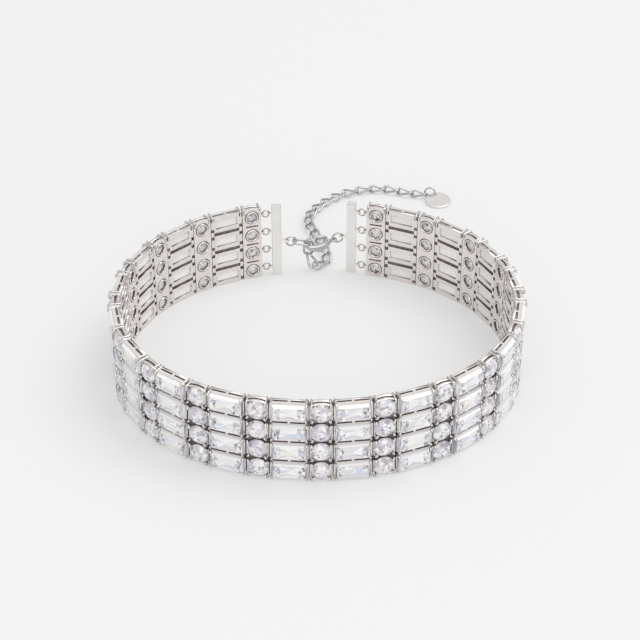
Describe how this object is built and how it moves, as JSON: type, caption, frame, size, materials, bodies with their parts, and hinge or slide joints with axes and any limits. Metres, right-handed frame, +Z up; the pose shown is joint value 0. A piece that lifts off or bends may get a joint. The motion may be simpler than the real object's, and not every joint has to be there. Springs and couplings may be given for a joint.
{
  "type": "choker necklace",
  "caption": "Wide stone-set choker of hinged round-stone and long-stone panels, closed at the back by a lobster clasp and an extension chain with a plain end disc.",
  "frame": {"origin": "centre of the footprint of the whole necklace, chain included, on the surface that the band stands on", "axes": "+Z up along the band's height, -Y towards the front of the band, +Y towards the clasp and the chain, +X to the right seen from the front"},
  "size_m": [0.121, 0.1584, 0.0255],
  "materials": {
    "baguette_panel": "clear long-cut stones in a polished rhodium-coloured setting",
    "clasp_body": "polished rhodium-coloured casting",
    "clasp_lever": "polished rhodium-coloured casting",
    "end_bar_left": "polished rhodium-coloured plate",
    "end_bar_right": "polished rhodium-coloured plate",
    "end_disc": "polished rhodium-coloured plate",
    "end_ring": "polished rhodium-coloured wire",
    "extension_chain": "polished rhodium-coloured wire",
    "jump_ring_left": "polished rhodium-coloured wire",
    "jump_ring_right": "polished rhodium-coloured wire",
    "round_panel": "clear round stones in a polished rhodium-coloured setting",
    "small_ring_left": "polished rhodium-coloured wire",
    "small_ring_right": "polished rhodium-coloured wire"
  },
  "bodies": {
    "root": {"baguette_panel_01": "baguette_panel", "baguette_panel_02": "baguette_panel", "baguette_panel_03": "baguette_panel", "baguette_panel_04": "baguette_panel", "baguette_panel_05": "baguette_panel", "baguette_panel_06": "baguette_panel", "baguette_panel_07": "baguette_panel", "baguette_panel_08": "baguette_panel", "baguette_panel_09": "baguette_panel", "baguette_panel_10": "baguette_panel", "baguette_panel_11": "baguette_panel", "baguette_panel_12": "baguette_panel", "baguette_panel_13": "baguette_panel", "baguette_panel_14": "baguette_panel", "baguette_panel_15": "baguette_panel", "baguette_panel_16": "baguette_panel", "baguette_panel_17": "baguette_panel", "baguette_panel_18": "baguette_panel", "clasp_body": "clasp_body", "end_bar_left": "end_bar_left", "end_bar_right": "end_bar_right", "end_disc": "end_disc", "end_ring": "end_ring", "extension_chain": "extension_chain", "jump_ring_left": "jump_ring_left", "jump_ring_right": "jump_ring_right", "round_panel_01": "round_panel", "round_panel_02": "round_panel", "round_panel_03": "round_panel", "round_panel_04": "round_panel", "round_panel_05": "round_panel", "round_panel_06": "round_panel", "round_panel_07": "round_panel", "round_panel_08": "round_panel", "round_panel_09": "round_panel", "round_panel_10": "round_panel", "round_panel_11": "round_panel", "round_panel_12": "round_panel", "round_panel_13": "round_panel", "round_panel_14": "round_panel", "round_panel_15": "round_panel", "round_panel_16": "round_panel", "round_panel_17": "round_panel", "round_panel_18": "round_panel", "round_panel_19": "round_panel", "small_ring_left_1": "small_ring_left", "small_ring_left_2": "small_ring_left", "small_ring_left_3": "small_ring_left", "small_ring_left_4": "small_ring_left", "small_ring_right_1": "small_ring_right", "small_ring_right_2": "small_ring_right", "small_ring_right_3": "small_ring_right", "small_ring_right_4": "small_ring_right"},
    "lever": {"clasp_lever": "clasp_lever"}
  },
  "joints": [
    {"name": "lever_hinge", "type": "hinge", "parent": "root", "child": "lever", "pos_m": [0.00381, 0.02777, 0.01192], "axis": [0.1227, -0.9924, 0], "range_deg": [0, 25], "stiffness_Nm_per_rad": 0.02}
  ]
}
